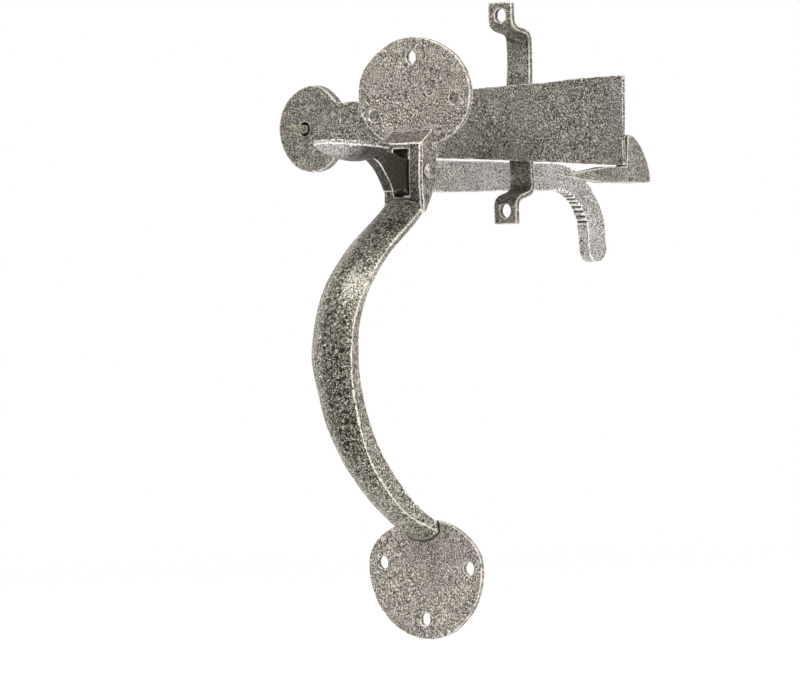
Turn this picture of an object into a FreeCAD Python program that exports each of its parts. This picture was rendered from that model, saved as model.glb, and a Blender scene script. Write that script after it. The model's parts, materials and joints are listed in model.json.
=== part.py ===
import FreeCAD, Part
import math
import os

import Sketcher

# A thumb latch of the Suffolk kind, forged in iron, as it sits on a closed door.
# Frame: +X is right as seen from outside the door, +Y goes into the door and +Z is up.
# The origin is on the door's outer face, at the middle of the top plate's back.
# The handle and the thumb lever are outside. The latch bar, its guide staple and the
# drive-in catch are on the room side, past the thickness of the door.

V = FreeCAD.Vector
X_AXIS = V(1, 0, 0)

# Driving dimensions in millimetres, angles in degrees.
SIZES = {
    "door_thickness": 35.0,
    # plates
    "plate_thickness": 2.4,
    "plate_centre_x": 1.0,
    "top_plate_half_width": 30.6,
    "top_plate_rise": 24.2,
    "top_plate_drop": 21.0,
    "top_plate_middle": 1.0,
    "bottom_plate_half_width": 30.8,
    "bottom_plate_rise": 20.0,
    "bottom_plate_drop": 29.2,
    "bottom_plate_middle": -190.4,
    "screw_hole": 5.0,
    # lever box below the top plate
    "box_width": 22.0,
    "box_depth": 9.5,
    "box_bottom": -46.5,
    "slot_width": 8.6,
    "slot_top": -20.4,
    "slot_bottom": -39.6,
    "box_edge": 1.0,
    # lever pivot
    "pivot_y": -4.75,
    "pivot_z": -29.3,
    "rivet_shank": 4.0,
    "rivet_head": 6.4,
    "rivet_dome": 2.3,
    # thumb lever
    "lever_thickness": 6.0,
    "lever_hole": 4.2,
    "pad_length": 34.0,
    "pad_width": 28.0,
    "pad_shell": 2.2,
    "pad_middle_y": -39.0,
    "pad_rim_z": -16.6,
    "pad_tilt": 5.0,
    "web_round": 9.8,
    "notch_depth": 1.2,
    # latch bar
    "bar_pivot_x": -94.0,
    "bar_middle_z": -10.6,
    "bar_thickness": 4.0,
    "bar_offset": 5.0,
    "bar_past_pivot": 14.6,
    "bar_length": 184.8,
    "penny_diameter": 36.5,
    "neck_height": 22.4,
    "bar_end_height": 37.0,
    "joggle_start": 31.0,
    "joggle_run": 13.0,
    "bar_hole": 5.6,
    "bar_edge_wide": 3.6,
    "bar_edge_deep": 2.0,
    # guide staple
    "staple_x": 16.0,
    "staple_middle_z": -6.5,
    "staple_height": 91.0,
    "staple_width": 12.6,
    "strap_thickness": 2.5,
    "staple_window": 68.0,
    "staple_standoff": 10.4,
    "staple_slant": 2.6,
    "staple_bend": 4.0,
    "staple_hole": 5.4,
    "staple_hole_inset": 5.6,
    # drive-in catch
    "catch_x": 69.0,
    "catch_thickness": 6.0,
    "catch_face_gap": 2.5,
    "catch_shank": 7.0,
    "catch_fin": 20.0,
    "catch_head": 15.8,
    "catch_spike": 34.6,
    "catch_taper": 21.6,
    "rest_gap": 0.3,
    # pyramid-headed screw
    "screw_head": 15.0,
    "screw_wall": 2.0,
    "screw_pyramid": 5.0,
    "screw_top": 0.8,
    "screw_neck": 3.4,
    "screw_thread": 4.0,
    "screw_thread_length": 8.7,
    "screw_point": 5.0,
}

BIG = 400.0

doc = FreeCAD.newDocument("thumb_latch")
sheet = doc.addObject("Spreadsheet::Sheet", "Sizes")
for row, (word, value) in enumerate(SIZES.items(), start=1):
    sheet.set(f"A{row}", word)
    sheet.set(f"B{row}", str(value))
    sheet.setAlias(f"B{row}", word)
doc.recompute()


def size(word):
    """The number in the sheet's cell of that name."""
    return float(sheet.get(word))


def bind(thing, prop, formula):
    """Tie a property to the sheet; each {word} stands for that cell."""
    words = {word: f"Sizes.{word}" for word in SIZES}
    thing.setExpression(prop, formula.format(**words))


def new_body(label):
    body = doc.addObject("PartDesign::Body", label)
    body.Label = label
    return body


def new_sketch(body, name, role):
    """A sketch on one of the body's own origin planes."""
    sketch = body.newObject("Sketcher::SketchObject", name)
    plane = next(f for f in body.Origin.OriginFeatures if f.Role == role)
    sketch.AttachmentSupport = (plane, "")
    sketch.MapMode = "FlatFace"
    return sketch


def add_outline(sketch, edges):
    """Add edges that follow one another, joined where their ends meet."""
    indices = [sketch.addGeometry(edge, False) for edge in edges]
    joined = set()
    for index, after in zip(indices, indices[1:] + indices[:1]):
        free = [(a, b) for a in (1, 2) for b in (1, 2)
                if (index, a) not in joined and (after, b) not in joined]
        a, b = min(free, key=lambda ends: sketch.getPoint(index, ends[0]).distanceToPoint(
            sketch.getPoint(after, ends[1])))
        sketch.addConstraint(Sketcher.Constraint("Coincident", index, a, after, b))
        joined |= {(index, a), (after, b)}


def straight(points):
    """Line segments along the points, not closed."""
    return [Part.LineSegment(V(*a), V(*b)) for a, b in zip(points, points[1:])]


def arc(start, middle, end):
    return Part.Arc(V(*start), V(*middle), V(*end))


def bent_side(points, radius, shift):
    """One side of a bent strap: runs and bends, shifted left of the strap's middle line."""
    points = [V(*point) for point in points]
    edges = []
    heading = (points[1] - points[0]).normalize()
    here = points[0] + V(-heading.y, heading.x) * shift
    for corner, after in zip(points[1:-1], points[2:]):
        turned = (after - corner).normalize()
        angle = math.atan2(heading.x * turned.y - heading.y * turned.x, heading.dot(turned))
        hand = math.copysign(1, angle)
        reach = radius * math.tan(abs(angle) / 2)
        bend_in = corner - heading * reach
        centre = bend_in + V(-heading.y, heading.x) * radius * hand
        bend_radius = radius - shift * hand
        first = centre + V(heading.y, -heading.x) * bend_radius * hand
        middle = centre + (corner - centre).normalize() * bend_radius
        last = centre + V(turned.y, -turned.x) * bend_radius * hand
        edges.append(Part.LineSegment(here, first))
        edges.append(Part.Arc(first, middle, last))
        here = last
        heading = turned
    edges.append(Part.LineSegment(here, points[-1] + V(-heading.y, heading.x) * shift))
    return edges


def strap_outline(points, radius, thickness):
    """The closed side view of a strap bent along a middle line through the points."""
    left = bent_side(points, radius, thickness / 2)
    right = bent_side(points, radius, -thickness / 2)
    far = Part.LineSegment(left[-1].EndPoint, right[-1].EndPoint)
    near = Part.LineSegment(right[0].StartPoint, left[0].StartPoint)
    return left + [far] + right[::-1] + [near]


def add_circle(sketch, x, y, diameter):
    """A circle whose diameter follows the sheet."""
    index = sketch.addGeometry(Part.Circle(V(x, y), V(0, 0, 1), 1.0), False)
    row = sketch.addConstraint(Sketcher.Constraint("Diameter", index, 2.0))
    bind(sketch, f"Constraints[{row}]", diameter)


def pad(body, name, sketch, length, both_ways=False):
    feature = body.newObject("PartDesign::Pad", name)
    feature.Profile = sketch
    bind(feature, "Length", length)
    feature.Midplane = both_ways
    return feature


def cut_through(body, name, sketch):
    """A pocket through everything, both ways from its sketch; it has to remove metal."""
    doc.recompute()
    before = body.Shape.Volume
    feature = body.newObject("PartDesign::Pocket", name)
    feature.Profile = sketch
    feature.Type = "Length"
    feature.Length = BIG
    feature.Midplane = True
    doc.recompute()
    if body.Shape.Volume > before - 1.0:
        raise RuntimeError(f"{body.Label}: {name} cut nothing")
    return feature


def new_chamfer(body, name, edge_names):
    """A chamfer on the named edges of the body's last feature."""
    last = body.Tip
    feature = body.newObject("PartDesign::Chamfer", name)
    feature.Base = (last, edge_names)
    return feature


def plate_outline(sketch, middle_x, middle_z, half_width, rise, drop):
    """An egg: half an ellipse above the widest line and another half below it."""
    centre = V(middle_x, middle_z)
    upper = Part.Ellipse(centre, half_width, rise)
    lower = Part.Ellipse(centre, half_width, drop)
    upper_half = Part.ArcOfEllipse(upper, 0, math.pi)
    lower_half = Part.ArcOfEllipse(lower, math.pi, 2 * math.pi)
    add_outline(sketch, [upper_half, lower_half])


def make_plate(label, middle_z, half_width, rise, drop, hole_places):
    """A cusp of the handle: an oval plate with a hole for each of its screws."""
    body = new_body(label)
    outline = new_sketch(body, f"{label}_outline", "XZ_Plane")
    plate_outline(outline, size("plate_centre_x"), size(middle_z), size(half_width),
                  size(rise), size(drop))
    pad(body, f"{label}_pad", outline, "{plate_thickness}")
    holes = new_sketch(body, f"{label}_screw_holes", "XZ_Plane")
    for x, z in hole_places:
        add_circle(holes, x, z, "{screw_hole}")
    cut_through(body, f"{label}_holes_cut", holes)
    return body


def make_lever_box(top_plate):
    """The slotted block for the lever, lapped over the lower edge of the top plate."""
    body = new_body("box_block")
    front = -size("box_depth")
    bottom = size("box_bottom")
    ledge_top = (-size("plate_thickness"), -12.5)
    ledge_front = (front, -17.8)
    root = (0, -12.5)
    heel = (0, -34.0)
    # The toe meets the back of the grip, so that one line runs on into the other.
    toe = (front + 2.5, bottom + 0.7)
    profile = new_sketch(body, "box_profile", "YZ_Plane")
    edges = straight([root, ledge_top, ledge_front, (front, bottom), toe])
    edges.append(arc(toe, (-3.6, -40.6), heel))
    edges += straight([heel, root])
    add_outline(profile, edges)
    pad(body, "box_pad", profile, "{box_width}", both_ways=True)

    half = size("slot_width") / 2
    top = size("slot_top")
    low = size("slot_bottom")
    slot = new_sketch(body, "lever_slot", "XZ_Plane")
    corners = [(-half, low), (half, low), (half, top), (-half, top), (-half, low)]
    add_outline(slot, straight(corners))
    cut_through(body, "slot_cut", slot)

    pin = new_sketch(body, "pin_hole", "YZ_Plane")
    add_circle(pin, size("pivot_y"), size("pivot_z"), "{rivet_shank}")
    cut_through(body, "pin_cut", pin)

    wide = size("box_width") / 2
    names = []
    for number, edge in enumerate(body.Shape.Edges, start=1):
        ends = edge.Vertexes
        upright = len(ends) == 2 and abs(ends[0].Z - ends[1].Z) > 20
        at_corner = abs(abs(ends[0].X) - wide) < 0.01 and abs(ends[0].Y - front) < 0.01
        if upright and at_corner:
            names.append(f"Edge{number}")
    bevel = new_chamfer(body, "box_bevel", names)
    bind(bevel, "Size", "{box_edge}")

    lever_box = doc.addObject("Part::Cut", "lever_box")
    lever_box.Label = "lever_box"
    lever_box.Base = body
    lever_box.Tool = top_plate
    return lever_box


# Screw holes, as X and Z on the door.
TOP_HOLES = [(-0.2, 17.0), (22.9, 0.0), (-20.9, -6.6)]
BOTTOM_HOLES = [(-21.9, -188.8), (24.9, -190.4), (0.2, -211.1)]


# Stations of the grip, from the lever box down to the bottom plate: Y and Z of the
# front face's middle line, then the width and the thickness of the bar there.
GRIP_STATIONS = [
    (-8.6, -43.4, 21.4, 2.9),
    (-20.5, -52.0, 21.8, 3.4),
    (-33.0, -61.6, 22.4, 3.4),
    (-43.6, -73.0, 23.0, 3.8),
    (-51.3, -88.0, 22.6, 5.0),
    (-54.0, -105.0, 21.6, 6.0),
    (-51.0, -122.0, 19.8, 7.0),
    (-44.6, -138.5, 17.2, 8.2),
    (-33.8, -154.0, 15.0, 8.6),
    (-21.0, -165.8, 15.0, 7.6),
    (-5.0, -174.6, 18.6, 4.4),
    (3.0, -178.0, 19.0, 4.0),
]
# The crown of the front face and the width of the back, as shares of the width there.
GRIP_CROWN = 0.18
GRIP_BACK = 0.9


def make_grip(lever_box, bottom_plate):
    """The bow that the hand holds, lofted through its stations, from the box to the plate."""
    sections = []
    count = len(GRIP_STATIONS)
    for index, (y, z, width, thickness) in enumerate(GRIP_STATIONS):
        before = GRIP_STATIONS[max(index - 1, 0)]
        after = GRIP_STATIONS[min(index + 1, count - 1)]
        # The front face looks away from the door: a quarter turn from the way down.
        down = math.atan2(after[1] - before[1], after[0] - before[0])
        outward = math.degrees(down) - 90
        section = doc.addObject("Sketcher::SketchObject", f"grip_section_{index + 1}")
        half = width / 2
        back = half * GRIP_BACK
        left = (-half, 0)
        right = (half, 0)
        edges = [arc(left, (0, width * GRIP_CROWN), right)]
        edges += straight([right, (back, -thickness), (-back, -thickness), left])
        add_outline(section, edges)
        section.Placement = FreeCAD.Placement(V(0, y, z), FreeCAD.Rotation(X_AXIS, outward))
        sections.append(section)
    blank = doc.addObject("Part::Loft", "grip_blank")
    blank.Sections = sections
    blank.Solid = True
    blank.Ruled = False
    tools = doc.addObject("Part::MultiFuse", "grip_neighbours")
    behind = doc.addObject("Part::Box", "behind_the_door_face")
    behind.Length = BIG
    behind.Width = BIG
    behind.Height = BIG
    behind.Placement.Base = V(-BIG / 2, 0, -BIG)
    tools.Shapes = [lever_box, bottom_plate, behind]
    grip = doc.addObject("Part::Cut", "grip_bow")
    grip.Label = "grip_bow"
    grip.Base = blank
    grip.Tool = tools
    return grip


def make_lever():
    """The thumb lever: a web in the box's slot, the arm through the door and its hook."""
    body = new_body("lever_arm")
    # Outline of the web and arm, as Y and Z: from the pad, over the top and round the hook.
    pad_back = (-23.4, -19.3)
    over_slot = (-10.0, -24.2)
    arm_root = (8.6, -24.8)
    arm_top = (79.2, -27.2)
    hook_out = (114.2, -52.0)
    hook_low = (114.6, -61.0)
    tip = (109.4, -69.4)
    tip_in = (103.6, -64.0)
    hook_in = (102.8, -55.0)
    arm_under = (82.0, -38.8)
    # Below the pivot the web is round about it, so it fills the slot as it rocks.
    pivot = V(size("pivot_y"), size("pivot_z"))
    heel, web_middle, web_low = (
        pivot + V(math.sin(angle), -math.cos(angle)) * size("web_round")
        for angle in (math.radians(25), math.radians(-8), math.radians(-40)))
    web_toe = (-17.4, -37.4)
    pad_front = (-31.0, -22.6)
    edges = straight([pad_back, over_slot, arm_root, arm_top])
    edges.append(arc(arm_top, (102.6, -34.6), hook_out))
    edges += straight([hook_out, hook_low])
    edges.append(arc(hook_low, tip, tip_in))
    edges += straight([tip_in, hook_in])
    inner = arc(hook_in, (97.0, -44.6), arm_under)
    edges.append(inner)
    edges += straight([arm_under, heel])
    edges.append(arc(heel, web_middle, web_low))
    edges += straight([web_low, web_toe])
    edges.append(arc(web_toe, (-21.6, -30.0), pad_front))
    edges += straight([pad_front, pad_back])
    profile = new_sketch(body, "lever_profile", "YZ_Plane")
    add_outline(profile, edges)
    pad(body, "lever_pad", profile, "{lever_thickness}", both_ways=True)

    hole = new_sketch(body, "lever_pin_hole", "YZ_Plane")
    add_circle(hole, size("pivot_y"), size("pivot_z"), "{lever_hole}")
    cut_through(body, "lever_pin_cut", hole)

    # Notches along the inside of the hook, leaning towards its tip.
    notches = new_sketch(body, "hook_notches", "YZ_Plane")
    depth = size("notch_depth")
    curve = inner.toShape()
    count = 11
    first = curve.FirstParameter
    step = (curve.LastParameter - first) / (count + 1)
    centre = curve.Curve.Center
    for index in range(count):
        at = curve.valueAt(first + (index + 1) * step)
        out = (at - centre).normalize()
        along = V(-out.y, out.x)
        mouth_a = at - out * 0.5 - along * depth * 0.6
        mouth_b = at - out * 0.5 + along * depth * 0.9
        root = at + out * depth + along * depth * 0.5
        corners = [(p.x, p.y) for p in (mouth_a, mouth_b, root, mouth_a)]
        add_outline(notches, straight(corners))
    cut_through(body, "notch_cut", notches)

    pad_shape = make_thumb_pad()
    lever = doc.addObject("Part::MultiFuse", "thumb_lever")
    lever.Label = "thumb_lever"
    lever.Shapes = [body, pad_shape]
    return lever


def make_thumb_pad():
    """The dished oval under the thumb: the part of a thin egg shell inside an oval prism."""
    spread = 1.18
    egg_depth = 12.5
    rim_fall = egg_depth * math.sqrt(1 - 1 / spread ** 2)
    egg_middle = size("pad_rim_z") - size("pad_shell") + rim_fall
    eggs = []
    for name, lift in (("pad_under", 0.0), ("pad_over", size("pad_shell"))):
        egg = doc.addObject("Part::Ellipsoid", name)
        egg.Radius1 = egg_depth
        bind(egg, "Radius2", "{pad_width} / 2 * " + str(spread))
        bind(egg, "Radius3", "{pad_length} / 2 * " + str(spread))
        egg.Placement.Base = V(0, size("pad_middle_y"), egg_middle + lift)
        eggs.append(egg)
    shell = doc.addObject("Part::Cut", "pad_egg_shell")
    shell.Base = eggs[0]
    shell.Tool = eggs[1]
    oval = doc.addObject("Part::Ellipse", "pad_oval")
    bind(oval, "MajorRadius", "{pad_length} / 2")
    bind(oval, "MinorRadius", "{pad_width} / 2")
    quarter_turn = FreeCAD.Rotation(V(0, 0, 1), 90)
    oval.Placement = FreeCAD.Placement(V(0, size("pad_middle_y"), egg_middle - BIG / 2),
                                       quarter_turn)
    prism = doc.addObject("Part::Extrusion", "pad_prism")
    prism.Base = oval
    prism.DirMode = "Custom"
    prism.Dir = V(0, 0, 1)
    prism.LengthFwd = BIG / 2
    prism.Solid = True
    dish = doc.addObject("Part::Common", "pad_dish")
    dish.Base = shell
    dish.Tool = prism
    doc.recompute()
    centre = V(0, size("pad_middle_y"), size("pad_rim_z"))
    tilt = FreeCAD.Rotation(X_AXIS, -size("pad_tilt"))
    dish.Placement = FreeCAD.Placement(V(0, 0, 0), tilt, centre)
    return dish


def make_rivet():
    """The lever's pivot: a pin through both walls of the box, headed over at each end."""
    wall = size("box_width") / 2
    brim = 0.6
    shank = doc.addObject("Part::Cylinder", "rivet_shank_rod")
    bind(shank, "Radius", "{rivet_shank} / 2")
    bind(shank, "Height", "{box_width}")
    along_x = FreeCAD.Rotation(V(0, 1, 0), 90)
    shank.Placement = FreeCAD.Placement(V(-wall, 0, 0), along_x)
    shapes = [shank]
    for side, name in ((-1, "left"), (1, "right")):
        outward = FreeCAD.Rotation(V(0, 1, 0), 90 * side)
        collar = doc.addObject("Part::Cylinder", f"rivet_brim_{name}")
        bind(collar, "Radius", "{rivet_head} / 2")
        collar.Height = brim
        collar.Placement = FreeCAD.Placement(V(side * wall, 0, 0), outward)
        dome = doc.addObject("Part::Cone", f"rivet_dome_{name}")
        bind(dome, "Radius1", "{rivet_head} / 2")
        bind(dome, "Radius2", "{rivet_head} / 5")
        bind(dome, "Height", "{rivet_dome} - " + str(brim))
        dome.Placement = FreeCAD.Placement(V(side * (wall + brim), 0, 0), outward)
        shapes += [collar, dome]
    rivet = doc.addObject("Part::MultiFuse", "pivot_rivet")
    rivet.Label = "pivot_rivet"
    rivet.Shapes = shapes
    rivet.Placement.Base = V(0, size("pivot_y"), size("pivot_z"))
    return rivet


def make_bar():
    """The latch bar, built about its pivot: X along the bar, Y off the door."""
    body = new_body("latch_bar")
    start = -size("bar_past_pivot")
    end = start + size("bar_length")
    thick = size("bar_thickness")
    off = size("bar_offset")
    ramp = start + size("joggle_start")
    raised = ramp + size("joggle_run")
    lean = thick * math.tan(math.atan2(off, size("joggle_run")) / 2)
    side = new_sketch(body, "bar_side", "XY_Plane")
    add_outline(side, straight([
        (start - 1, 0), (ramp, 0), (raised, off), (end, off), (end, off + thick),
        (raised - lean, off + thick), (ramp - lean, thick), (start - 1, thick),
        (start - 1, 0)]))
    pad(body, "bar_strip", side, "2 * {bar_end_height}", both_ways=True)

    radius = size("penny_diameter") / 2
    middle = start + radius
    neck = size("neck_height") / 2
    neck_x = middle + math.sqrt(radius ** 2 - neck ** 2)
    half_end = size("bar_end_height") / 2
    trim = new_sketch(body, "bar_trim", "XZ_Plane")
    edges = [arc((neck_x, neck), (start, 0), (neck_x, -neck))]
    edges += straight([(neck_x, -neck), (end, -half_end), (end, half_end), (neck_x, neck)])
    add_outline(trim, edges)
    around = [(start - 20, -60), (end + 20, -60), (end + 20, 60), (start - 20, 60),
              (start - 20, -60)]
    add_outline(trim, straight(around))
    cut_through(body, "bar_trim_cut", trim)

    hole = new_sketch(body, "bar_pin_hole", "XZ_Plane")
    add_circle(hole, 0, 0, "{bar_hole}")
    cut_through(body, "bar_pin_cut", hole)

    def room_side(x):
        """How far the strip's room side stands off at a place along it."""
        climb = (x - (ramp - lean)) / (raised - ramp)
        return thick + off * min(max(climb, 0), 1)

    # The bevel runs along both sides of the room face, down the joggle to the penny's
    # neck, and across the free end.
    names = []
    for number, edge in enumerate(body.Shape.Edges, start=1):
        on_room_side = all(abs(v.Y - room_side(v.X)) < 0.01 for v in edge.Vertexes)
        is_line = edge.Curve.TypeId == "Part::GeomLine"
        across = abs(edge.tangentAt(edge.FirstParameter).z) > 0.9
        at_end = all(abs(v.X - end) < 0.01 for v in edge.Vertexes)
        if on_room_side and is_line and (at_end or not across):
            names.append(f"Edge{number}")
    bevel = new_chamfer(body, "bar_bevel", names)
    bevel.ChamferType = "Two distances"
    bind(bevel, "Size", "{bar_edge_deep}")
    bind(bevel, "Size2", "{bar_edge_wide}")
    bind(body, "Placement.Base.x", "{bar_pivot_x}")
    bind(body, "Placement.Base.y", "{door_thickness}")
    bind(body, "Placement.Base.z", "{bar_middle_z}")
    return body


def make_staple():
    """The guide staple, a bent strap that the bar lifts and falls in."""
    body = new_body("guide_staple")
    thick = size("strap_thickness")
    half = size("staple_height") / 2
    foot = thick / 2
    bridge = size("staple_standoff") + foot
    bend = size("staple_window") / 2 + foot
    crest = bend - size("staple_slant")
    middle_line = [(foot, -half), (foot, -bend), (bridge, -crest), (bridge, crest),
                   (foot, bend), (foot, half)]
    profile = new_sketch(body, "strap_profile", "YZ_Plane")
    add_outline(profile, strap_outline(middle_line, size("staple_bend"), thick))
    pad(body, "strap_pad", profile, "{staple_width}", both_ways=True)

    holes = new_sketch(body, "staple_holes", "XZ_Plane")
    for side in (-1, 1):
        add_circle(holes, 0, side * (half - size("staple_hole_inset")), "{staple_hole}")
    cut_through(body, "staple_holes_cut", holes)
    bind(body, "Placement.Base.x", "{staple_x}")
    bind(body, "Placement.Base.y", "{door_thickness}")
    bind(body, "Placement.Base.z", "{staple_middle_z}")
    return body


def bar_under_at(x):
    """Height of the latch bar's lower edge at rest, at a place X across the door."""
    start = size("bar_pivot_x") - size("bar_past_pivot")
    radius = size("penny_diameter") / 2
    neck = size("neck_height") / 2
    neck_x = start + radius + math.sqrt(radius ** 2 - neck ** 2)
    end_x = start + size("bar_length")
    share = (x - neck_x) / (end_x - neck_x)
    half = neck + (size("bar_end_height") / 2 - neck) * share
    return size("bar_middle_z") - half


def make_catch():
    """The drive-in catch: a spike for the door frame, a shank for the bar and a fin."""
    body = new_body("drive_in_catch")
    shank = size("catch_shank")
    fin = size("catch_fin")
    head = size("catch_head")
    spike = -size("catch_spike")
    taper = spike + size("catch_taper")
    tip_low = (spike, shank * 0.46)
    tip_high = (spike, shank * 0.64)
    fin_foot = (0, shank)
    fin_inner = (1.6, fin - 0.6)
    fin_outer = (4.6, fin)
    profile = new_sketch(body, "catch_profile", "YZ_Plane")
    edges = straight([(head, 0), (taper, 0), tip_low, tip_high, (taper, shank), fin_foot,
                      fin_inner, fin_outer])
    edges.append(arc(fin_outer, (12.0, 12.2), (head, 2.0)))
    edges += straight([(head, 2.0), (head, 0)])
    add_outline(profile, edges)
    pad(body, "catch_pad", profile, "{catch_thickness}", both_ways=True)

    # The spike's sides draw in to a blunt point.
    half = size("catch_thickness") / 2
    point = half * 0.3
    sides = new_sketch(body, "spike_sides", "XY_Plane")
    for side in (-1, 1):
        corners = [(side * (half + 1), taper), (side * half, taper), (side * point, spike - 1),
                   (side * (half + 1), spike - 1), (side * (half + 1), taper)]
        add_outline(sides, straight(corners))
    cut_through(body, "spike_cut", sides)

    face_y = (size("door_thickness") + size("bar_offset") + size("bar_thickness")
              + size("catch_face_gap"))
    lowest = bar_under_at(size("catch_x") + half)
    bind(body, "Placement.Base.x", "{catch_x}")
    body.Placement.Base.y = face_y
    body.Placement.Base.z = lowest - size("rest_gap") - shank
    return body


def make_bar_screw():
    """The pyramid-headed screw that the latch bar turns on."""
    half = size("screw_head") / 2
    wall = size("screw_wall")
    top = size("screw_top") / 2
    block = doc.addObject("Part::Box", "screw_block")
    bind(block, "Length", "{screw_head}")
    bind(block, "Width", "{screw_wall}")
    bind(block, "Height", "{screw_head}")
    block.Placement.Base = V(-half, 0, -half)
    pyramid = doc.addObject("Part::Wedge", "screw_pyramid")
    pyramid.Xmin = -half
    pyramid.Xmax = half
    pyramid.Zmin = -half
    pyramid.Zmax = half
    pyramid.Ymin = wall
    pyramid.Ymax = wall + size("screw_pyramid")
    pyramid.X2min = -top
    pyramid.X2max = top
    pyramid.Z2min = -top
    pyramid.Z2max = top
    into_door = FreeCAD.Rotation(X_AXIS, 90)
    neck_length = size("bar_thickness") + size("rest_gap")
    thread_end = neck_length + size("screw_thread_length")
    neck = doc.addObject("Part::Cylinder", "screw_neck_rod")
    bind(neck, "Radius", "{screw_neck} / 2")
    neck.Height = neck_length
    neck.Placement = FreeCAD.Placement(V(0, 0, 0), into_door)
    thread = doc.addObject("Part::Cylinder", "screw_thread_rod")
    bind(thread, "Radius", "{screw_thread} / 2")
    bind(thread, "Height", "{screw_thread_length}")
    thread.Placement = FreeCAD.Placement(V(0, -neck_length, 0), into_door)
    point = doc.addObject("Part::Cone", "screw_point_cone")
    bind(point, "Radius1", "{screw_thread} / 2")
    point.Radius2 = 0.3
    bind(point, "Height", "{screw_point}")
    point.Placement = FreeCAD.Placement(V(0, -thread_end, 0), into_door)
    screw = doc.addObject("Part::MultiFuse", "bar_screw")
    screw.Label = "bar_screw"
    screw.Shapes = [block, pyramid, neck, thread, point]
    seat = size("door_thickness") + size("bar_thickness") + size("rest_gap")
    screw.Placement.Base = V(size("bar_pivot_x"), seat, size("bar_middle_z"))
    return screw


top_plate = make_plate("top_plate", "top_plate_middle", "top_plate_half_width",
                       "top_plate_rise", "top_plate_drop", TOP_HOLES)
bottom_plate = make_plate("bottom_plate", "bottom_plate_middle", "bottom_plate_half_width",
                          "bottom_plate_rise", "bottom_plate_drop", BOTTOM_HOLES)
lever_box = make_lever_box(top_plate)
PIECES = [
    top_plate,
    bottom_plate,
    lever_box,
    make_grip(lever_box, bottom_plate),
    make_lever(),
    make_rivet(),
    make_bar(),
    make_staple(),
    make_catch(),
    make_bar_screw(),
]
doc.recompute()

for thing in doc.Objects:
    if "Invalid" in thing.State or "Error" in thing.State:
        raise RuntimeError(f"{thing.Label} failed: {thing.State}")
for piece in PIECES:
    if piece.Shape.isNull() or not piece.Shape.isValid():
        raise RuntimeError(f"{piece.Label} has no valid shape")
    if len(piece.Shape.Solids) != 1:
        raise RuntimeError(f"{piece.Label} has {len(piece.Shape.Solids)} solids")

os.makedirs("parts", exist_ok=True)
for piece in PIECES:
    box = piece.Shape.optimalBoundingBox()
    print(f"{piece.Label}: {piece.Shape.Volume:.0f} mm3, X {box.XMin:.1f} {box.XMax:.1f}, "
          f"Y {box.YMin:.1f} {box.YMax:.1f}, Z {box.ZMin:.1f} {box.ZMax:.1f}")
    piece.Shape.exportStep(f"parts/{piece.Label}.step")
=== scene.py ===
import json
import math

import bmesh
import bpy
import numpy as np
from mathutils import Matrix, Vector, noise
from mathutils.bvhtree import BVHTree


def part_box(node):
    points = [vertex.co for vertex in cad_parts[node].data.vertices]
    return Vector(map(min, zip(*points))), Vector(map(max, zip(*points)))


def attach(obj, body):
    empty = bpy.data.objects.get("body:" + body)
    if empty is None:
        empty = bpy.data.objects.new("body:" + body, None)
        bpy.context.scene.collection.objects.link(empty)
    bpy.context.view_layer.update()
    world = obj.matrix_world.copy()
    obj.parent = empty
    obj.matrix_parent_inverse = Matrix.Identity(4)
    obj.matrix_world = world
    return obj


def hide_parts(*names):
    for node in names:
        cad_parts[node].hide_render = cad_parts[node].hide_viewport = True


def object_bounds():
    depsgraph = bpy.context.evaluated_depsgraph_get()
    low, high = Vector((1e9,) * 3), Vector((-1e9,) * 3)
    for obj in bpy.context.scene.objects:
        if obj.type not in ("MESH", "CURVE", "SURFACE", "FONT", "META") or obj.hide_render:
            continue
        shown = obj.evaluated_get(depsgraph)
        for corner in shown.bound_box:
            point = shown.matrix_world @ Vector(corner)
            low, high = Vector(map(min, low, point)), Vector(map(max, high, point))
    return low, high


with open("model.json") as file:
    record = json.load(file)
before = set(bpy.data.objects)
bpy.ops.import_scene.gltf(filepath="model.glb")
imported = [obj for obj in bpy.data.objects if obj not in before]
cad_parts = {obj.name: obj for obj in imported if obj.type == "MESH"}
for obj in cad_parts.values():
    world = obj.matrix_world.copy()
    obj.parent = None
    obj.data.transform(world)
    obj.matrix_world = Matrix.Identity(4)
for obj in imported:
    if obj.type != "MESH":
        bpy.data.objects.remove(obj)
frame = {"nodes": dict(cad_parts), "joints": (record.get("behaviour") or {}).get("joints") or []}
CAD_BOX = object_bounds()
MM = 0.001

ROOT = "handle_and_door_fittings"
LEVER = "thumb_lever"
BAR = "latch_bar"


# ---------------------------------------------------------------- mesh tools

def coordinates(mesh):
    """The vertices' places as an array, in metres."""
    co = np.empty(len(mesh.vertices) * 3)
    mesh.vertices.foreach_get("co", co)
    return co.reshape(-1, 3)


def normals(mesh):
    """The vertices' outward directions as an array."""
    no = np.empty(len(mesh.vertices) * 3)
    mesh.vertices.foreach_get("normal", no)
    return no.reshape(-1, 3)


def set_coordinates(mesh, co):
    mesh.vertices.foreach_set("co", co.reshape(-1))
    mesh.update()


def neighbour_mean(mesh, values, rounds, own_share=0.4):
    """Each vertex's value averaged with its neighbours' a number of times."""
    ends = np.empty(len(mesh.edges) * 2, dtype=np.int64)
    mesh.edges.foreach_get("vertices", ends)
    a, b = ends.reshape(-1, 2).T
    count = np.bincount(ends, minlength=len(values)).astype(float)
    count = np.maximum(count, 1.0)
    wide = values.reshape(len(values), -1)
    for _ in range(rounds):
        total = np.empty_like(wide)
        for k in range(wide.shape[1]):
            total[:, k] = (np.bincount(a, wide[b, k], len(wide))
                           + np.bincount(b, wide[a, k], len(wide)))
        wide = own_share * wide + (1 - own_share) * total / count[:, None]
    return wide.reshape(values.shape)


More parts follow.
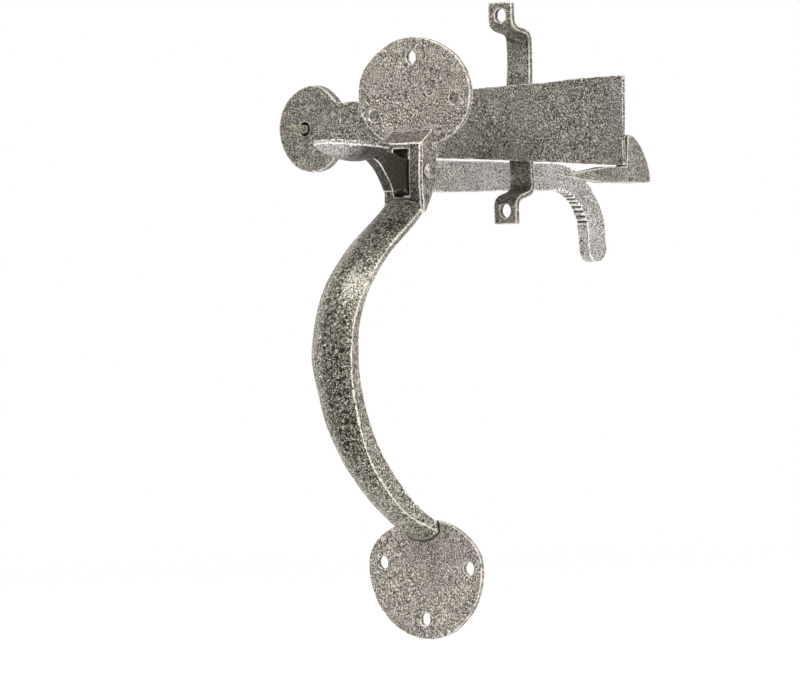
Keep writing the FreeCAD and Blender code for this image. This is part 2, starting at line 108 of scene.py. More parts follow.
def put_attribute(mesh, name, values):
    """Stores one number for each vertex, for the materials to read."""
    layer = mesh.attributes.new(name, "FLOAT", "POINT")
    layer.data.foreach_set("value", values.astype(np.float32))


def raise_attribute(mesh, name, floor):
    """Raises the stored values to at least the ones given."""
    layer = mesh.attributes[name].data
    values = np.empty(len(floor))
    layer.foreach_get("value", values)
    layer.foreach_set("value", np.maximum(values, floor).astype(np.float32))


def new_object(name, mesh):
    piece = bpy.data.objects.new(name, mesh)
    bpy.context.scene.collection.objects.link(piece)
    return piece


def remeshed(source, name, voxel):
    """A closed, even mesh of the source's surface, with no vertex split in two."""
    tidy = bmesh.new()
    tidy.from_mesh(source)
    bmesh.ops.remove_doubles(tidy, verts=tidy.verts, dist=1e-6)
    rough = bpy.data.meshes.new(name + "_rough")
    tidy.to_mesh(rough)
    tidy.free()
    holder = new_object(name + "_rough", rough)
    grid = holder.modifiers.new("grid", "REMESH")
    grid.mode = "VOXEL"
    grid.voxel_size = voxel
    graph = bpy.context.evaluated_depsgraph_get()
    even = bpy.data.meshes.new_from_object(holder.evaluated_get(graph))
    bpy.data.objects.remove(holder)
    even.name = name
    return even


# Lengths of the waves in the hammered iron, in millimetres.
WANDER_LENGTH = 17.0
DENT_LENGTH = 6.5
BLOW_LENGTH = 2.6
PIT_LENGTH = 1.0
SEED_STEPS = (7.3, 3.1, 5.7)

# Blender draws the wander's field from the clock, unless it has a seed.
WANDER_SEED = 1794894919
noise.seed_set(WANDER_SEED)


def hammer(mesh, seed, free, dent=0.18, wave=0.5, grain=0.05):
    """Forging marks, in millimetres: the outline wanders, the faces are dented and grainy.

    The wander is one field for all the pieces, so they stay fitted to each other. The marks
    all go inwards, so that no piece grows into its neighbour, and free is 0 where the piece
    is welded to one, so that no gap opens.
    """
    shift = Vector([seed * step for step in SEED_STEPS])
    co = coordinates(mesh)
    no = normals(mesh)
    moved = co.copy()
    for i, (place, outward) in enumerate(zip(co, no)):
        p = Vector(place) / MM
        wander = noise.noise_vector(p / WANDER_LENGTH)
        broad = 0.5 + 0.5 * noise.noise(p / DENT_LENGTH + shift)
        blow = 0.5 + 0.5 * noise.noise(p / BLOW_LENGTH + shift * 2)
        pit = 1 + 1.4 * noise.noise(p / PIT_LENGTH - shift)
        depth = dent * broad + dent * 0.5 * blow + grain * pit
        moved[i] = place + (np.array(wander) * wave - outward * depth * free[i]) * MM
    set_coordinates(mesh, moved)


def distance_to(mesh, neighbours, reach=4.0):
    """How far each vertex is from the neighbouring nodes, in millimetres, up to reach."""
    co = coordinates(mesh)
    distance = np.full(len(co), reach)
    for node in neighbours:
        low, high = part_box(node)
        near = np.all((co > np.array(low) - reach * MM) & (co < np.array(high) + reach * MM),
                      axis=1)
        tree = node_tree([node])
        for i in np.nonzero(near)[0]:
            found = tree.find_nearest(Vector(co[i]), reach * MM)[3]
            if found is not None:
                distance[i] = min(distance[i], found / MM)
    return distance


# A forge weld, in millimetres: how wide the groove and its lip are, how far the lip is from
# the neighbour, and the depth of groove that looks quite dark.
SEAM_WIDTH = 0.6
LIP_PLACE = 1.6
DARK_GROOVE = 0.15


def press_seam(mesh, away, groove, lip):
    """A forge weld: a groove where the piece meets a neighbour, with a raised lip beside it."""
    sunk = np.exp(-(away / SEAM_WIDTH) ** 2)
    raised = np.exp(-((away - LIP_PLACE) / SEAM_WIDTH) ** 2)
    shift = (lip * raised - groove * sunk) * MM
    set_coordinates(mesh, coordinates(mesh) + normals(mesh) * shift[:, None])
    put_attribute(mesh, "seam", sunk * min(groove / DARK_GROOVE, 1.0))


def node_tree(nodes):
    """A search tree over the surfaces of some CAD nodes, at rest."""
    verts = []
    faces = []
    for node in nodes:
        mesh = frame["nodes"][node].data
        start = len(verts)
        verts += [v.co.copy() for v in mesh.vertices]
        faces += [[start + v for v in face.vertices] for face in mesh.polygons]
    return BVHTree.FromPolygons(verts, faces)


def spiral_directions(count):
    """Directions spread evenly all round."""
    golden = math.pi * (3 - math.sqrt(5))
    directions = []
    for k in range(count):
        height = 1 - (2 * k + 1) / count
        ring = math.sqrt(1 - height * height)
        directions.append((ring * math.cos(golden * k), ring * math.sin(golden * k), height))
    return np.array(directions)


# Directions to look in, the start in millimetres off the surface, and the least cosine to the
# normal that counts.
LOOKS = 64
LOOK_FROM = 0.9
GRAZING = 0.15


def mark_grime_and_shade(mesh, tree, reach=22.0, share=4):
    """Stores how closed in each place is, from 0 to 1: painted shade in closed-in places, with
    dirt and wax there too.

    Each vertex looks along only one in share of the directions, up to reach millimetres, and
    smoothing adds up the rest.
    """
    co = coordinates(mesh)
    no = normals(mesh)
    directions = spiral_directions(LOOKS)
    rays = [Vector(d) for d in directions]
    facing = no @ directions.T
    closed = np.zeros(len(co))
    for i in range(len(co)):
        start = Vector(co[i] + no[i] * LOOK_FROM * MM)
        picks = [k for k in range(i % share, LOOKS, share) if facing[i, k] > GRAZING]
        blocked = 0.0
        for k in picks:
            distance = tree.ray_cast(start, rays[k], reach * MM)[3]
            if distance is not None:
                blocked += facing[i, k] * (1 - distance / (reach * MM))
        closed[i] = blocked / max(sum(facing[i, k] for k in picks), 0.2)
    put_attribute(mesh, "grime_and_shade", np.clip(neighbour_mean(mesh, closed, 6), 0, 1))


WEAR_ROUNDS = 7
WEAR_VOXEL = 0.38


def mark_wear(mesh, voxel, full=0.11):
    """Stores how much each place stands proud (wear) or is sunk (hollow), from 0 to 1.

    Proud is measured against the surface smoothed over about a millimetre, which takes
    WEAR_ROUNDS on a mesh of WEAR_VOXEL; full is the height in millimetres that counts as 1.
    """
    rounds = round(WEAR_ROUNDS * (WEAR_VOXEL / voxel) ** 2)
    co = coordinates(mesh)
    smooth = neighbour_mean(mesh, co, rounds)
    proud = np.einsum("ij,ij->i", co - smooth, normals(mesh)) / MM
    proud = neighbour_mean(mesh, proud, 1)
    put_attribute(mesh, "wear_and_highlight", np.clip(proud / full, 0, 1))
    put_attribute(mesh, "hollow", np.clip(-proud / full, 0, 1))


def shade_smooth(mesh):
    mesh.polygons.foreach_set("use_smooth", [True] * len(mesh.polygons))


def finish_piece(piece, body, node, material):
    """Gives the piece its finish, hides its CAD node, and hangs it on the body it rides on."""
    piece.data.materials.clear()
    piece.data.materials.append(material)
    shade_smooth(piece.data)
    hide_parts(node)
    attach(piece, body)


# ---------------------------------------------------------------- materials

class Nodes:
    """Short calls for building one material's node tree."""

    def __init__(self, name):
        self.material = bpy.data.materials.new(name)
        self.material.use_nodes = True
        self.tree = self.material.node_tree
        self.shader = self.tree.nodes["Principled BSDF"]
        self.place = self.add("ShaderNodeTexCoord").outputs["Object"]

    def add(self, kind, **settings):
        node = self.tree.nodes.new(kind)
        for key, value in settings.items():
            setattr(node, key, value)
        return node

    def link(self, out, socket):
        self.tree.links.new(out, socket)

    def noise(self, scale, detail, rough=0.55):
        node = self.add("ShaderNodeTexNoise")
        node.inputs["Scale"].default_value = scale
        node.inputs["Detail"].default_value = detail
        node.inputs["Roughness"].default_value = rough
        self.link(self.place, node.inputs["Vector"])
        return node.outputs["Fac"]

    def attribute(self, name):
        return self.add("ShaderNodeAttribute", attribute_name=name).outputs["Fac"]

    def math(self, operation, a, b=0.0):
        node = self.add("ShaderNodeMath", operation=operation)
        for socket, value in zip(node.inputs, (a, b)):
            if isinstance(value, (int, float)):
                socket.default_value = value
            else:
                self.link(value, socket)
        return node.outputs["Value"]

    def span(self, value, low, high, to_low=0.0, to_high=1.0):
        """Maps low..high to to_low..to_high and holds the ends."""
        node = self.add("ShaderNodeMapRange", clamp=True, interpolation_type="SMOOTHSTEP")
        for name, number in (("From Min", low), ("From Max", high),
                             ("To Min", to_low), ("To Max", to_high)):
            node.inputs[name].default_value = number
        self.link(value, node.inputs["Value"])
        return node.outputs["Result"]

    def mix(self, share, a, b):
        """The colour a, with that share of it replaced by b."""
        node = self.add("ShaderNodeMix", data_type="RGBA")
        for socket, value in ((node.inputs[0], share), (node.inputs[6], a), (node.inputs[7], b)):
            if isinstance(value, (int, float)):
                socket.default_value = value
            elif isinstance(value, tuple):
                socket.default_value = (*value, 1.0)
            else:
                self.link(value, socket)
        return node.outputs[2]

    def tint(self, skin, where, amount, colour):
        """Covers up to amount of the skin with a colour, where the mask is 1."""
        return self.mix(self.math("MULTIPLY", where, amount), skin, colour)

    def middle(self, a, b):
        """The value halfway between two."""
        return self.math("ADD", self.math("MULTIPLY", a, 0.5), self.math("MULTIPLY", b, 0.5))

    def bump(self, height, distance, strength=1.0, under=None):
        node = self.add("ShaderNodeBump")
        node.inputs["Strength"].default_value = strength
        node.inputs["Distance"].default_value = distance
        self.link(height, node.inputs["Height"])
        if under is not None:
            self.link(under, node.inputs["Normal"])
        return node.outputs["Normal"]


# A near-black brown for dirt, also used for painted shade.
SOOT_AND_SHADE = (0.046, 0.040, 0.026)

# Noise scales, in waves to the metre, from the finest grain to the patches of patina.
FINE = 1700.0
MEDIUM = 830.0
DENTS = 230.0
TONE = 130.0
PATCH = 75.0


def iron_colour(n, fine, medium, worn_and_highlight, colours, contrast, pits, mute):
    """The base colour: patina, then its grain, then what the attributes of the mesh add, painted
    shade among them.
    """
    dark, skin_colour, light, warm = colours
    patch = n.noise(PATCH, 3.0)
    tone = n.noise(TONE, 4.0, 0.6)
    shade = n.attribute("shade")
    skin = n.mix(n.span(patch, 0.35, 0.70), skin_colour, warm)
    skin = n.tint(skin, n.span(tone, 0.50, 0.30), 0.45, dark)
    skin = n.tint(skin, n.span(tone, 0.52, 0.72), 0.22, light)
    # Painted shade, where the shade attribute is high.
    skin = n.tint(skin, shade, 0.95, SOOT_AND_SHADE)

    off_middle = n.math("ABSOLUTE", n.math("SUBTRACT", medium, 0.5))
    squiggle = n.span(off_middle, 0.035, 0.0)
    salt = n.span(fine, 0.53, 0.70)
    pepper = n.span(fine, 0.48, 0.33)
    blotch = n.span(medium, 0.46, 0.30)
    shaded_pits = n.math("MULTIPLY", shade, n.span(medium, 0.52, 0.42))
    skin = n.tint(skin, blotch, pits * contrast, dark)
    skin = n.tint(skin, squiggle, 0.40 * contrast, light)
    skin = n.tint(skin, salt, 0.65 * contrast, light)
    # Painted shade again, dimming the bright grain, then dark pits within it.
    skin = n.tint(skin, shade, mute, SOOT_AND_SHADE)
    skin = n.tint(skin, shaded_pits, 0.95, dark)
    skin = n.tint(skin, pepper, 0.85 * contrast, dark)

    hollow = n.span(n.attribute("hollow"), 0.15, 0.80)
    seam = n.span(n.attribute("seam"), 0.25, 0.85)
    grime_and_shade = n.span(n.attribute("grime_and_shade"), 0.22, 0.75)
    # Bright worn edges, and on the bow a painted highlight.
    skin = n.tint(skin, worn_and_highlight, 0.82, light)
    skin = n.tint(skin, n.math("MAXIMUM", hollow, seam), 0.75, dark)
    # Painted shade in closed-in places, together with dirt and wax.
    return n.tint(skin, grime_and_shade, 0.88, SOOT_AND_SHADE)


def iron(name, dark, skin_colour, light, warm, contrast=1.0, relief=1.0, pits=0.50,
         mute=0.40, grain=1.0):
    """Forged iron under a grey patina: fine pits, bright squiggles, worn edges and painted
    shade.

    dark, skin_colour and light are the pits, the patina and bare metal; warm tints patches.
    contrast and relief are how strong the grain is in colour and in height. pits is how much
    the broad pits darken, mute how much the painted shade dims the bright grain, and grain how
    coarse it all is.
    """
    n = Nodes(name)
    fine = n.noise(FINE / grain, 2.0, 0.6)
    medium = n.noise(MEDIUM / grain, 2.5, 0.6)
    ragged = n.math("MULTIPLY", n.math("SUBTRACT", fine, 0.5), 0.8)
    worn_and_highlight = n.span(n.math("ADD", n.attribute("wear_and_highlight"), ragged), 0.26, 0.62)
    colours = (dark, skin_colour, light, warm)
    n.link(iron_colour(n, fine, medium, worn_and_highlight, colours, contrast, pits, mute),
           n.shader.inputs["Base Color"])

    rough = n.span(n.middle(fine, medium), 0.35, 0.65, 0.58, 0.38)
    rough = n.math("SUBTRACT", rough, n.math("MULTIPLY", worn_and_highlight, 0.14))
    rough = n.math("ADD", rough, n.math("MULTIPLY", n.attribute("grime_and_shade"), 0.2))
    n.link(rough, n.shader.inputs["Roughness"])
    n.shader.inputs["Metallic"].default_value = 0.70
    n.shader.inputs["Specular IOR Level"].default_value = 0.5

    dents = n.bump(n.noise(DENTS, 2.0), 0.40 * MM * relief, 0.7)
    skin_bump = n.bump(medium, 0.75 * MM * relief, 1.0, under=dents)
    fine_bump = n.bump(fine, 0.35 * MM * relief, 1.0, under=skin_bump)
    n.link(fine_bump, n.shader.inputs["Normal"])
    return n.material


# Each call gives the dark, the patina, the bare metal and the warm patches, in that order.
handle_iron = iron("handle_iron", (0.018, 0.015, 0.012), (0.180, 0.160, 0.137),
                   (0.86, 0.80, 0.71), (0.190, 0.172, 0.138), contrast=1.4, relief=1.3)
grip_iron = iron("grip_iron", (0.010, 0.009, 0.005), (0.185, 0.170, 0.143),
                 (0.92, 0.88, 0.75), (0.205, 0.190, 0.142), contrast=1.4, relief=1.9,
                 pits=0.70, mute=0.22, grain=1.2)
lever_iron = iron("lever_iron", (0.022, 0.019, 0.016), (0.350, 0.333, 0.314),
                  (0.98, 0.95, 0.90), (0.355, 0.338, 0.308), contrast=1.4, relief=1.3,
                  mute=0.80)
bar_iron = iron("bar_iron", (0.012, 0.011, 0.008), (0.105, 0.096, 0.081),
                (0.68, 0.64, 0.56), (0.116, 0.105, 0.085), contrast=1.3, relief=1.2)
catch_iron = iron("catch_iron", (0.026, 0.023, 0.019), (0.185, 0.170, 0.150),
                  (0.74, 0.69, 0.62), (0.196, 0.182, 0.154), contrast=1.2, relief=1.2)
screw_iron = iron("screw_iron", (0.018, 0.016, 0.011), (0.138, 0.128, 0.097),
                  (0.70, 0.66, 0.55), (0.165, 0.155, 0.106))
rivet_iron = iron("rivet_iron", (0.020, 0.017, 0.013), (0.105, 0.096, 0.082),
                  (0.55, 0.51, 0.45), (0.115, 0.104, 0.086), contrast=1.0)


# ---------------------------------------------------------------- forged pieces

FORGED = [
    # node, body, slot, material, voxel in mm, seed
    ("top_plate", ROOT, "handle_iron", handle_iron, 0.34, 1),
    ("lever_box", ROOT, "handle_iron", handle_iron, 0.28, 8),
    ("grip_bow", ROOT, "handle_iron", grip_iron, 0.38, 2),
    ("bottom_plate", ROOT, "handle_iron", handle_iron, 0.34, 3),
    ("thumb_lever", LEVER, "lever_iron", lever_iron, 0.32, 4),
    ("latch_bar", BAR, "bar_iron", bar_iron, 0.40, 5),
    ("guide_staple", ROOT, "bar_iron", bar_iron, 0.32, 6),
    ("drive_in_catch", ROOT, "catch_iron", catch_iron, 0.26, 7),
]
WELDED = {
    # node: the nodes that it is forge-welded to, then the seam's groove and lip in mm
    "top_plate": (["lever_box"], 0.0, 0.0),
    "lever_box": (["top_plate", "grip_bow"], 0.0, 0.0),
    "grip_bow": (["lever_box", "bottom_plate"], 0.10, 0.10),
    "bottom_plate": (["grip_bow"], 0.16, 0.12),
}
CLOSE_FIT = {
    # node: the nodes that it keeps close to, so that little light comes through between them
    "thumb_lever": ["lever_box"],
    "lever_box": ["thumb_lever"],
}
# How far a neighbour is felt, in millimetres, and how strongly it holds the hammer off.
FELT = 1.2
WELD_HOLD = 1.2
FIT_HOLD = 2


def freedom(away, hold):
    """1 where a piece is hammered freely, and 1 - hold where it touches its neighbour."""
    return 1 - hold * np.exp(-(away / FELT) ** 2)


def between(values, low, high):
    """0 up to low, 1 from high on, straight between; low may be the greater."""
    return np.clip((values - low) / (high - low), 0, 1)


# Where the painted shade and highlight go: places in the frame and distances, in millimetres.
# Of a pair, the first is where it starts and the second is where it is full.
SHADE_FROM_PIVOT = (24.0, 14.0)
DOOR_SIDE = 5.0
PAD_SHADE = (-50.0, -42.0)
BOX_FRONT = -8.0
BOW_TOP = (-44.0, -50.0)
BOW_BOTTOM = (-166.0, -140.0)
BAND_MIDDLE = 3.5
BAND_HALF_WIDTH = (9.0, 4.0)
RUB_HIGHLIGHT_HEIGHT = -74.0
RUB_HIGHLIGHT_SPREAD = 13.0
RUB_HIGHLIGHT_SIDE = (-3.0, 4.0)


def shade_at_pivot(mesh):
    """Painted shade: the lever's cheeks go black near the rivet, inside the box's slot, over the
    dark patina.
    """
    joint = next(j for j in frame["joints"] if j["name"] == "lever_pivot")
    co = (coordinates(mesh) - np.array(joint["pos_m"])) / MM
    away = np.hypot(co[:, 1], co[:, 2])
    cheek = between(np.abs(normals(mesh)[:, 0]), 0.3, 0.9)
    pivot_shade = between(away, *SHADE_FROM_PIVOT) * cheek * (co[:, 1] < DOOR_SIDE)
    raise_attribute(mesh, "grime_and_shade", pivot_shade)


def shade_on_lever(mesh):
    """Painted shade: darker under the thumb pad, on the way back to the web."""
    co = coordinates(mesh) / MM
    under = between(-normals(mesh)[:, 2], -0.3, 0.1)
    return under * between(co[:, 1], *PAD_SHADE) * (co[:, 1] < BOX_FRONT)


def shade_on_box(mesh):
    """Painted shadow of the thumb pad: darker on the box's front."""
    return between(-normals(mesh)[:, 1], 0.3, 0.8) * 0.7


def rub_highlight_on_grip(co):
    """A painted highlight on the shoulder of the bow, as worn bright metal, from 0 to 1."""
    near = np.exp(-((co[:, 2] - RUB_HIGHLIGHT_HEIGHT) / RUB_HIGHLIGHT_SPREAD) ** 2)
    return near * between(co[:, 0], *RUB_HIGHLIGHT_SIDE)


def shade_on_grip(mesh):
    """Painted shade: darker along the middle of the bow's front, lighter towards its edges, and
    less where the bow's painted highlight is.
    """
    co = coordinates(mesh) / MM
    front = between(-normals(mesh)[:, 1], -0.1, 0.35)
    along = between(co[:, 2], *BOW_TOP) * between(co[:, 2], *BOW_BOTTOM)
    band = between(np.abs(co[:, 0] - BAND_MIDDLE), *BAND_HALF_WIDTH)
    return front * band * along * (1 - 0.85 * rub_highlight_on_grip(co))


# Painted shade for these pieces.
SHADE = {"thumb_lever": shade_on_lever, "lever_box": shade_on_box, "grip_bow": shade_on_grip}


def forge(node, body, slot, material, voxel, seed):
    """The CAD node's shape again as an even mesh, softened, hammered and worn."""
    mesh = remeshed(frame["nodes"][node].data, "forged_" + node, voxel * MM)
    set_coordinates(mesh, neighbour_mean(mesh, coordinates(mesh), 1))
    mark_grime_and_shade(mesh, ALL_NODES)
    free = np.ones(len(mesh.vertices))
    if node in WELDED:
        neighbours, groove, lip = WELDED[node]
        away = distance_to(mesh, neighbours)
        press_seam(mesh, away, groove, lip)
        free = freedom(away, WELD_HOLD)
    if node in CLOSE_FIT:
        away = distance_to(mesh, CLOSE_FIT[node])
        free = np.minimum(free, freedom(away, FIT_HOLD))
    # Painted shade on the lever's cheeks inside the box's slot.
    if node == "thumb_lever":
        shade_at_pivot(mesh)
    # Painted shade, stored for the materials.
    if node in SHADE:
        put_attribute(mesh, "shade", SHADE[node](mesh))
    hammer(mesh, seed, free)
    mark_wear(mesh, voxel)
    # A painted highlight on the bow, added to the worn-edge mark.
    if node == "grip_bow":
        raise_attribute(mesh, "wear_and_highlight", 0.42 * rub_highlight_on_grip(coordinates(mesh) / MM))
    finish_piece(new_object("forged_" + node, mesh), body, node, material)


ALL_NODES = node_tree(list(frame["nodes"]))
for row in FORGED:
    forge(*row)


# ---------------------------------------------------------------- turned pieces

def lathe(name, profile, around, lift):
    """A closed surface of revolution about the local Z axis from (radius, height) pairs.

    lift(angle, height) adds to the radius, so that a thread or a dent is real geometry.
    """
    verts = []
    faces = []
    for radius, height in profile:
        for k in range(around):
            angle = 2 * math.pi * k / around
            reach = radius + (lift(angle, height) if radius > 0.05 * MM else 0.0)
            verts.append((reach * math.cos(angle), reach * math.sin(angle), height))
    rows = len(profile)
    for r in range(rows - 1):
        for k in range(around):
            a = r * around + k
            b = r * around + (k + 1) % around
            faces.append((a, b, b + around, a + around))
    faces.append(tuple(reversed(range(around))))
    faces.append(tuple((rows - 1) * around + k for k in range(around)))
    mesh = bpy.data.meshes.new(name)
    mesh.from_pydata(verts, [], faces)
    mesh.update()
    return mesh


def join_meshes(name, meshes):
    """Several meshes as one, each with its own matrix."""
    whole = bmesh.new()
    for mesh, matrix in meshes:
        mesh.transform(matrix)
        whole.from_mesh(mesh)
        bpy.data.meshes.remove(mesh)
    result = bpy.data.meshes.new(name)
    bmesh.ops.recalc_face_normals(whole, faces=whole.faces)
    whole.to_mesh(result)
    whole.free()
    return result


RIVET_DOME = 2.3 * MM
RIVET_SHANK = 1.6 * MM
DOME_DENT = 0.22 * MM
AXIS = 0.02 * MM


def rivet_profile(head, half_length, steps=14):
    """Half the rivet's section: a low dome, the shank and the other dome."""
    cheek = half_length - RIVET_DOME
    arch = []
    for k in range(steps + 1):
        turn = math.pi / 2 * k / steps
        rise = cheek - 0.1 * MM + RIVET_DOME * math.cos(turn) ** 0.9
        arch.append((head * math.sin(turn) ** 0.8, rise))
    arch[0] = (AXIS, arch[0][1])
    neck = cheek - 0.4 * MM
    below = [(radius, -rise) for radius, rise in arch]
    return below + [(RIVET_SHANK, -neck), (RIVET_SHANK, neck)] + arch[::-1]


def dome_dents(angle, height):
    """Hammer marks on the rivet's heads."""
    spot = Vector((math.cos(angle), math.sin(angle), height / MM * 0.4)) * 1.6
    return DOME_DENT * noise.noise(spot)


def make_rivet():
    """Both hammered heads of the lever's rivet, on its shank."""
    low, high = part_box("pivot_rivet")
    middle = (low + high) / 2
    profile = rivet_profile((high.z - low.z) / 2, (high.x - low.x) / 2)
    mesh = lathe("hammered_rivet", profile, 56, dome_dents)
    mesh.transform(Matrix.Translation(middle) @ Matrix.Rotation(math.pi / 2, 4, "Y"))
    mark_grime_and_shade(mesh, ALL_NODES)
    mark_wear(mesh, 0.58, full=0.05)
    finish_piece(new_object("hammered_rivet", mesh), ROOT, "pivot_rivet",
                 rivet_iron)


SCREW_WALL = 2.0 * MM
SCREW_HEAD = 7.0 * MM
SCREW_TOP = 0.5 * MM
NECK_RADIUS = 1.7 * MM
NECK_END = 4.3 * MM
CORE_RADIUS = 1.35 * MM
THREAD_HEIGHT = 0.62 * MM
THREAD_PITCH = 1.45 * MM
THREAD_START = 0.8 * MM
POINT_LENGTH = 5.5 * MM
INTO_HEAD = 0.4 * MM


def pyramid_head(half):
    """The square head, its seat at y = 0 and its top towards +Y, with a hammered skin."""
    rings = [(half * 0.96, 0.0), (half, SCREW_WALL * 0.25), (half, SCREW_WALL),
             (SCREW_TOP, SCREW_HEAD)]
    verts = []
    for reach, up in rings:
        verts += [(-reach, up, -reach), (reach, up, -reach), (reach, up, reach),
                  (-reach, up, reach)]
    faces = [(4 * r + k, 4 * r + (k + 1) % 4, 4 * r + (k + 1) % 4 + 4, 4 * r + k + 4)
             for r in range(len(rings) - 1) for k in range(4)]
    faces.append((0, 3, 2, 1))
    faces.append(tuple(range(len(verts) - 4, len(verts))))
    flat = bpy.data.meshes.new("screw_head")
    flat.from_pydata(verts, [], faces)
    head = remeshed(flat, "screw_head", 0.22 * MM)
    set_coordinates(head, neighbour_mean(head, coordinates(head), 2))
    hammer(head, 8, np.ones(len(head.vertices)), dent=0.14, wave=0.12, grain=0.03)
    return head


def screw_shank(length, rows=260, around=40):
    """The neck, then the thread that runs out into the point, down from z = 0."""
    def envelope(depth):
        """How much of the full width is left, on the way into the point."""
        return min(1.0, (length - depth) / POINT_LENGTH)

    def thread(angle, height):
        depth = -height
        if depth < NECK_END:
            return 0.0
        turn = (depth / THREAD_PITCH - angle / (2 * math.pi)) % 1.0
        saw = max(0.0, 1.0 - abs(turn - 0.5) / 0.34) ** 0.8
        start = min(1.0, (depth - NECK_END) / THREAD_START)
        return THREAD_HEIGHT * saw * start * envelope(depth) ** 0.7

    profile = []
    for k in range(rows + 1):
        depth = length * k / rows - INTO_HEAD
        radius = NECK_RADIUS if depth < NECK_END else CORE_RADIUS
        profile.append((max(radius * envelope(depth), 0.06 * MM), -depth))
    return lathe("screw_shank", profile, around, thread)


def make_screw():
    """The wood screw: a faceted pyramid head, a smooth neck and a cut thread to a point."""
    low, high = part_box("bar_screw")
    middle = (low + high) / 2
    seat = high.y - SCREW_HEAD
    head = pyramid_head((high.x - low.x) / 2)
    shank = screw_shank(seat - low.y)
    into_door = Matrix.Rotation(-math.pi / 2, 4, "X")
    place = Matrix.Translation((middle.x, seat, middle.z))
    mesh = join_meshes("pyramid_screw", [(head, place), (shank, place @ into_door)])
    mark_wear(mesh, 0.45, full=0.14)
    finish_piece(new_object("pyramid_screw", mesh), ROOT, "bar_screw", screw_iron)


make_rivet()
make_screw()


# ---------------------------------------------------------------- stage, light and camera

FLOOR_DROP = 0.05
FLOOR_RADIUS = 1.6
FLOOR_RINGS = 24
FLOOR_AROUND = 64
FADE_FROM = 0.35
FADE_TO = 1.5


def floor_material():
    """A matt white that fades out with the distance from the middle."""
    white = Nodes("floor_white")
    white.shader.inputs["Base Color"].default_value = (0.95, 0.95, 0.95, 1.0)
    white.shader.inputs["Roughness"].default_value = 0.9
    level = white.add("ShaderNodeVectorMath", operation="MULTIPLY")
    level.inputs[1].default_value = (1.0, 1.0, 0.0)
    white.link(white.place, level.inputs[0])
    length = white.add("ShaderNodeVectorMath", operation="LENGTH")
    white.link(level.outputs["Vector"], length.inputs[0])
    white.link(white.span(length.outputs["Value"], FADE_FROM, FADE_TO, 1.0, 0.0),
               white.shader.inputs["Alpha"])
    return white.material


def make_stage():
    """A pale round floor under the latch, which fades out into the white room."""
    low = CAD_BOX[0].z - FLOOR_DROP
    verts = [(0, 0, low)]
    for r in range(1, FLOOR_RINGS + 1):
        radius = FLOOR_RADIUS * r / FLOOR_RINGS
        for k in range(FLOOR_AROUND):
            angle = 2 * math.pi * k / FLOOR_AROUND
            verts.append((radius * math.cos(angle), radius * math.sin(angle), low))
    faces = [(0, 1 + k, 1 + (k + 1) % FLOOR_AROUND) for k in range(FLOOR_AROUND)]
    for r in range(FLOOR_RINGS - 1):
        for k in range(FLOOR_AROUND):
            a = 1 + r * FLOOR_AROUND + k
            b = 1 + r * FLOOR_AROUND + (k + 1) % FLOOR_AROUND
            faces.append((a, a + FLOOR_AROUND, b + FLOOR_AROUND, b))
    mesh = bpy.data.meshes.new("floor")
    mesh.from_pydata(verts, [], faces)
    mesh.materials.append(floor_material())
    new_object("floor", mesh)


GLOW_TOWARDS = (-0.60, 0.78, 0.12)
GLOW_COLOUR = (1.0, 0.985, 0.96, 1.0)
GLOW_SPREAD = (0.25, 0.95)
GLOW_STRENGTH = (0.22, 1.2)


def make_room():
    """A white room as seen; its light on the iron is strongest from behind the handle."""
    world = bpy.data.worlds.new("studio")
    bpy.context.scene.world = world
    world.use_nodes = True
    tree = world.node_tree
    seen = tree.nodes["Background"]
    seen.inputs["Color"].default_value = (1.0, 1.0, 1.0, 1.0)
    shed = tree.nodes.new("ShaderNodeBackground")
    shed.inputs["Color"].default_value = GLOW_COLOUR
    place = tree.nodes.new("ShaderNodeTexCoord")
    towards = tree.nodes.new("ShaderNodeVectorMath")
    towards.operation = "DOT_PRODUCT"
    towards.inputs[1].default_value = Vector(GLOW_TOWARDS).normalized()
    tree.links.new(place.outputs["Generated"], towards.inputs[0])
    ramp = tree.nodes.new("ShaderNodeMapRange")
    ramp.interpolation_type = "SMOOTHSTEP"
    for names, numbers in ((("From Min", "From Max"), GLOW_SPREAD),
                           (("To Min", "To Max"), GLOW_STRENGTH)):
        for name, number in zip(names, numbers):
            ramp.inputs[name].default_value = number
    tree.links.new(towards.outputs["Value"], ramp.inputs["Value"])
    tree.links.new(ramp.outputs["Result"], shed.inputs["Strength"])
    rays = tree.nodes.new("ShaderNodeLightPath")
    either = tree.nodes.new("ShaderNodeMixShader")
    tree.links.new(rays.outputs["Is Camera Ray"], either.inputs[0])
    tree.links.new(shed.outputs[0], either.inputs[1])
    tree.links.new(seen.outputs[0], either.inputs[2])
    tree.links.new(either.outputs[0], tree.nodes["World Output"].inputs["Surface"])


LIGHTS = [
    # name, place from the latch's middle, width in metres, power in watts
    ("key", (-0.15, -1.60, 1.70), 0.8, 53),
    ("fill", (1.95, -0.5, 0.45), 1.0, 29),
    ("left", (-1.9, -0.9, 0.7), 1.0, 10),
    ("rim", (0.9, 1.6, 1.5), 1.2, 26),
]


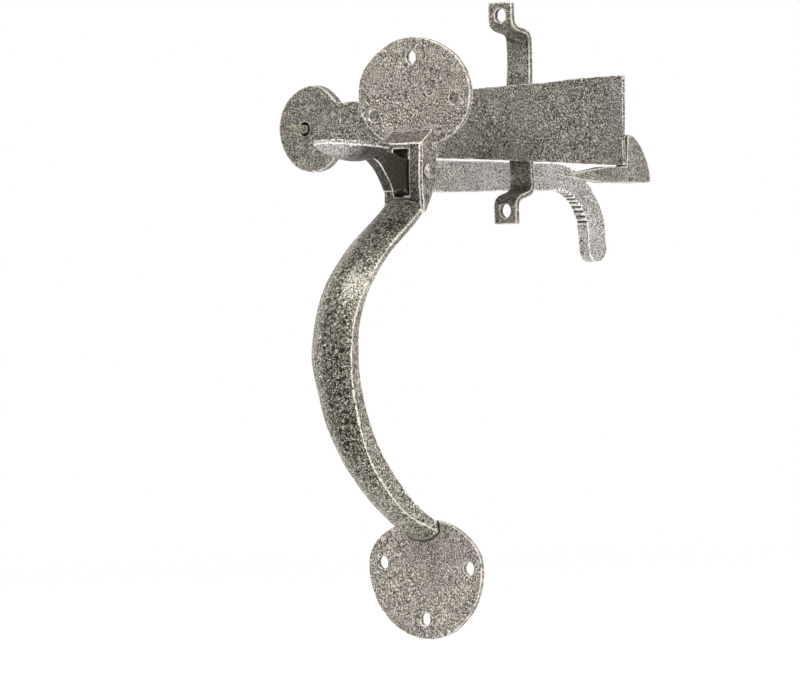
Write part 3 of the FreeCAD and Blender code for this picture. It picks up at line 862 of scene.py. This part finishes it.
def make_lights():
    """Round soft lights, all aimed at the middle of the latch."""
    middle = (CAD_BOX[0] + CAD_BOX[1]) / 2
    for name, offset, width, power in LIGHTS:
        lamp = bpy.data.lights.new(name, "AREA")
        lamp.shape = "DISK"
        lamp.size = width
        lamp.energy = power
        holder = bpy.data.objects.new(name, lamp)
        bpy.context.scene.collection.objects.link(holder)
        holder.location = middle + Vector(offset)
        aim = (middle - holder.location).to_track_quat("-Z", "Y")
        holder.rotation_euler = aim.to_euler()


# Degrees, then the lens and its sensor in millimetres, then metres: the width of the picture
# at the latch, and the point looked at, from the middle of the handle.
VIEW_AZIMUTH = 42.0
VIEW_ELEVATION = 1.5
VIEW_ROLL = 1.4
VIEW_LENS = 300.0
SENSOR = 36.0
FRAME_WIDTH = 0.325
AIM_RIGHT = -0.0085
AIM_UP = 0.0004


def make_camera():
    """A long lens on the handle's right-hand front, leaning a little, as in a catalogue."""
    lens = bpy.data.cameras.new("camera")
    lens.lens = VIEW_LENS
    lens.sensor_width = SENSOR
    lens.clip_end = 60.0
    holder = bpy.data.objects.new("camera", lens)
    bpy.context.scene.collection.objects.link(holder)
    turn = math.radians(VIEW_AZIMUTH)
    rise = math.radians(VIEW_ELEVATION)
    back = Vector((math.sin(turn) * math.cos(rise), -math.cos(turn) * math.cos(rise),
                   math.sin(rise)))
    look = (-back).to_track_quat("-Z", "Y")
    right = look @ Vector((1, 0, 0))
    up = look @ Vector((0, 1, 0))
    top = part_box("top_plate")[1].z
    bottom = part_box("bottom_plate")[0].z
    aim = Vector((0, 0, (top + bottom) / 2)) + right * AIM_RIGHT + up * AIM_UP
    holder.location = aim + back * (FRAME_WIDTH * VIEW_LENS / SENSOR)
    holder.rotation_mode = "QUATERNION"
    roll = Matrix.Rotation(math.radians(-VIEW_ROLL), 4, "Z").to_quaternion()
    holder.rotation_quaternion = look @ roll
    bpy.context.scene.camera = holder


make_stage()
make_room()
make_lights()
make_camera()
bpy.context.scene.view_settings.view_transform = "Standard"
